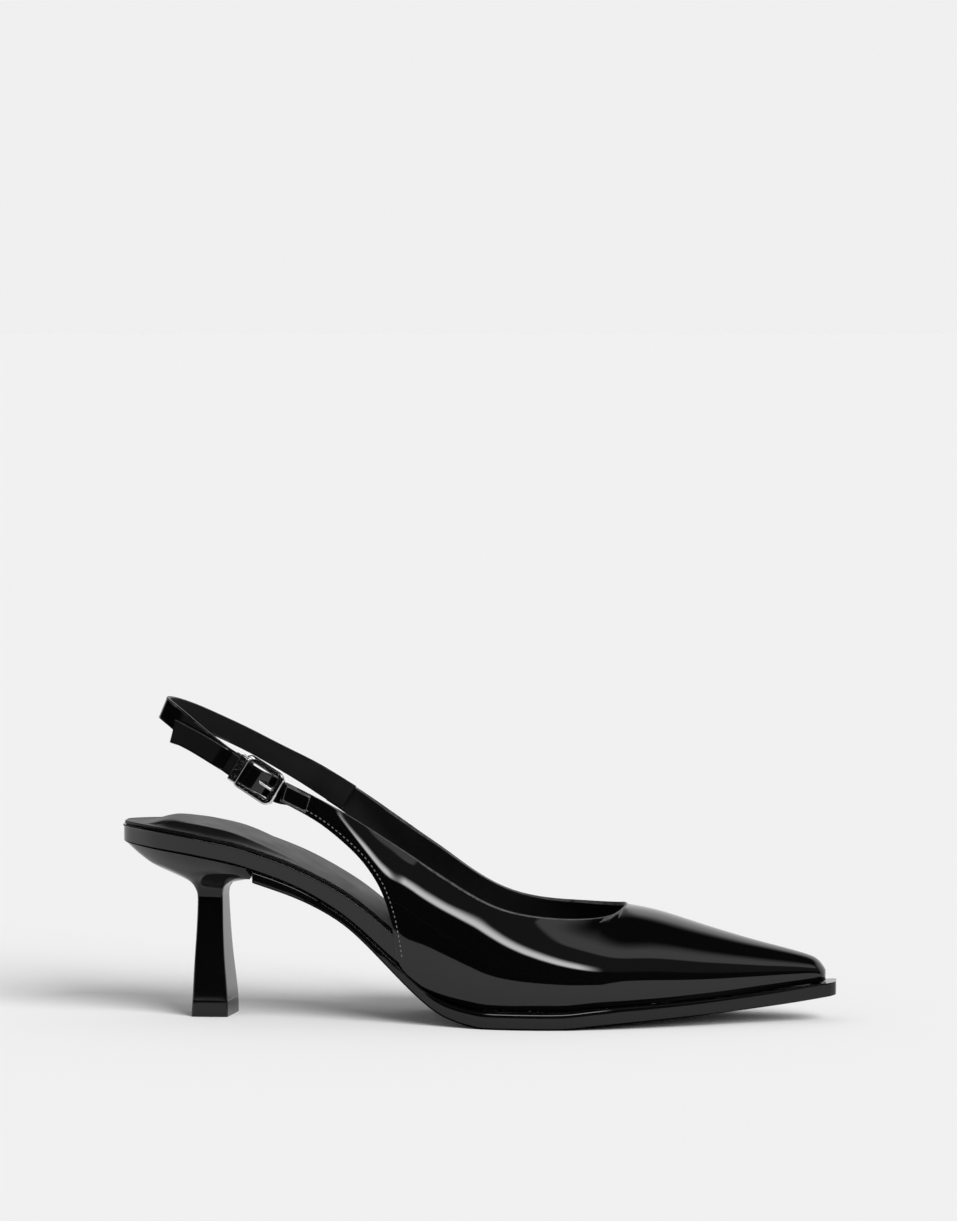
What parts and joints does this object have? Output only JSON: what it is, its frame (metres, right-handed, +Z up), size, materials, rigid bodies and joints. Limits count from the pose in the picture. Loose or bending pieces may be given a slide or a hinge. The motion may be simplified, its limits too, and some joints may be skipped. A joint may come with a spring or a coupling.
{
  "type": "slingback pump",
  "caption": "Pointed slingback pump in black patent with a slim flared block heel, a hollow upper, a raised insole pad and a buckled heel strap.",
  "frame": {"origin": "middle of the shoe's box, on the floor that the tread and the heel stand on", "axes": "+X towards the toe, +Y towards the inner side of the foot, +Z up"},
  "size_m": [0.25, 0.076, 0.1114],
  "materials": {
    "patent": "black patent, mirror gloss",
    "sole": "black, semi-gloss",
    "sock": "black, matte, fine grain",
    "lift": "dark, satin",
    "metal": "polished silver"
  },
  "bodies": {
    "root": {"upper": "patent", "outsole": "sole", "footbed": "patent", "insole": "sock", "heel": "patent", "top_lift": "lift", "back_strap": "patent", "front_strap": "patent", "strap_tab": "patent", "buckle_frame": "metal", "buckle_prong": "metal", "buckle_keeper": "metal"}
  },
  "joints": []
}
